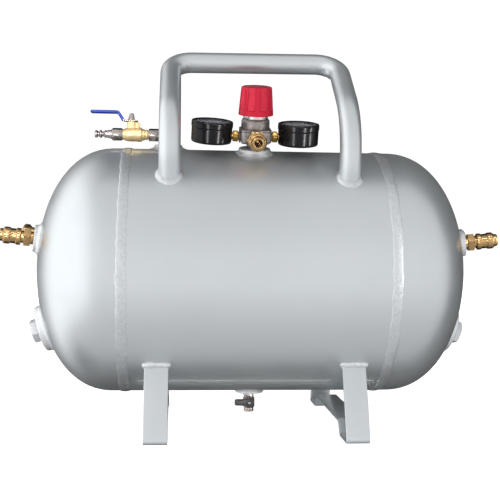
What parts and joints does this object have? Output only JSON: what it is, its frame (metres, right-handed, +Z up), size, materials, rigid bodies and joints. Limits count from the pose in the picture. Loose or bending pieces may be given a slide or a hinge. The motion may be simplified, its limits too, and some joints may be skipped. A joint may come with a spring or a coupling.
{
  "type": "air receiver tank",
  "caption": "Horizontal portable air tank on two strap feet, with a tube handle, a pressure regulator with gauges, quick couplers, a ball valve inlet and a drain cock.",
  "frame": {"origin": "on the floor, at the middle of the object's box, under the tank's centre line", "axes": "+X along the tank to the right as seen from its front, -Y towards the front where the gauges and the regulator's outlet point, +Z up"},
  "size_m": [0.6458, 0.3204, 0.4911],
  "materials": {
    "tank_paint": "gloss silver-grey enamel",
    "brass": "machined",
    "plated_steel": "nickel plated",
    "die_cast": "satin die-cast zinc alloy",
    "red_plastic": "satin moulded",
    "blue_vinyl": "dipped vinyl",
    "black_gloss": "gloss",
    "rubber": "matt",
    "dial_white": "printed dial",
    "lens": "clear"
  },
  "bodies": {
    "tank": {"tank_shell": "tank_paint", "left_head": "tank_paint", "right_head": "tank_paint", "left_girth_weld": "tank_paint", "right_girth_weld": "tank_paint", "regulator_boss": "tank_paint", "valve_boss": "tank_paint", "drain_boss": "tank_paint", "left_port_boss": "tank_paint", "right_port_boss": "tank_paint", "left_inspection_boss": "tank_paint", "right_inspection_boss": "tank_paint", "left_rear_boss": "tank_paint", "right_rear_boss": "tank_paint", "left_inspection_plug": "tank_paint", "right_inspection_plug": "tank_paint", "handle": "tank_paint", "left_foot_bracket": "tank_paint", "right_foot_bracket": "tank_paint", "regulator_nipple": "plated_steel", "regulator_body": "die_cast", "regulator_diaphragm": "rubber", "regulator_spring": "plated_steel", "regulator_bonnet": "die_cast", "regulator_panel_nut": "plated_steel", "left_gauge_stem": "brass", "left_gauge_case": "black_gloss", "left_gauge_bezel": "black_gloss", "left_gauge_lens": "lens", "left_gauge_dial": "dial_white", "right_gauge_stem": "brass", "right_gauge_case": "black_gloss", "right_gauge_bezel": "black_gloss", "right_gauge_lens": "lens", "right_gauge_dial": "dial_white", "outlet_coupler_body": "brass", "left_coupler_body": "brass", "right_coupler_body": "brass", "valve_elbow": "plated_steel", "valve_union_nut": "plated_steel", "ball_valve_body": "brass", "hose_plug": "plated_steel", "drain_cock_body": "plated_steel", "relief_valve_body": "brass", "right_rear_plug": "brass"},
    "regulator_screw": {"regulator_screw": "plated_steel"},
    "regulator_knob": {"regulator_knob": "red_plastic"},
    "left_needle": {"left_gauge_needle": "black_gloss"},
    "right_needle": {"right_gauge_needle": "black_gloss"},
    "valve_lever": {"ball_valve_ball": "plated_steel", "ball_valve_stem": "plated_steel", "ball_valve_lever": "plated_steel", "ball_valve_grip": "blue_vinyl", "ball_valve_lever_nut": "plated_steel"},
    "drain_lever": {"drain_cock_core": "brass", "drain_cock_lever": "black_gloss"},
    "outlet_sleeve": {"outlet_coupler_sleeve": "brass"},
    "left_sleeve": {"left_coupler_sleeve": "brass"},
    "right_sleeve": {"right_coupler_sleeve": "brass"},
    "relief_ring": {"relief_valve_ring": "plated_steel"}
  },
  "joints": [
    {"name": "regulator_adjust", "type": "hinge", "parent": "tank", "child": "regulator_screw", "pos_m": [0, -0.04383, 0.35484], "axis": [0, -0.2756, 0.9613], "range_deg": [-1350, 0]},
    {"name": "knob_lift", "type": "slide", "parent": "regulator_screw", "child": "regulator_knob", "axis": [0, -0.2756, 0.9613], "range_m": [0, 0.004]},
    {"name": "left_needle_sweep", "type": "hinge", "parent": "tank", "child": "left_needle", "pos_m": [-0.05524, -0.05332, 0.38796], "axis": [0.0454, -0.2754, 0.9603], "range_deg": [-270, 0], "stiffness_Nm_per_rad": 0.0005},
    {"name": "right_needle_sweep", "type": "hinge", "parent": "tank", "child": "right_needle", "pos_m": [0.0558, -0.05288, 0.38642], "axis": [0, -0.2756, 0.9613], "range_deg": [-270, 0], "stiffness_Nm_per_rad": 0.0005},
    {"name": "ball_valve_turn", "type": "hinge", "parent": "tank", "child": "valve_lever", "pos_m": [-0.1598, 0, 0.3803], "axis": [0, 0, 1], "range_deg": [0, 90]},
    {"name": "drain_turn", "type": "hinge", "parent": "tank", "child": "drain_lever", "pos_m": [0, 0, 0.0256], "axis": [0, -1, 0], "range_deg": [0, 90]},
    {"name": "left_sleeve_slide", "type": "slide", "parent": "tank", "child": "left_sleeve", "axis": [0.9844, 0.1415, -0.1044], "range_m": [0, 0.003], "stiffness_N_per_m": 800, "springref_m": -0.003},
    {"name": "right_sleeve_slide", "type": "slide", "parent": "tank", "child": "right_sleeve", "axis": [-0.9844, 0.1415, -0.1044], "range_m": [0, 0.003], "stiffness_N_per_m": 800, "springref_m": -0.003},
    {"name": "outlet_sleeve_slide", "type": "slide", "parent": "tank", "child": "outlet_sleeve", "axis": [0, 0.9613, 0.2756], "range_m": [0, 0.003], "stiffness_N_per_m": 800, "springref_m": -0.003},
    {"name": "relief_pull", "type": "slide", "parent": "tank", "child": "relief_ring", "axis": [-0.9773, 0.1433, 0.1558], "range_m": [0, 0.003], "stiffness_N_per_m": 1500, "springref_m": -0.002}
  ]
}
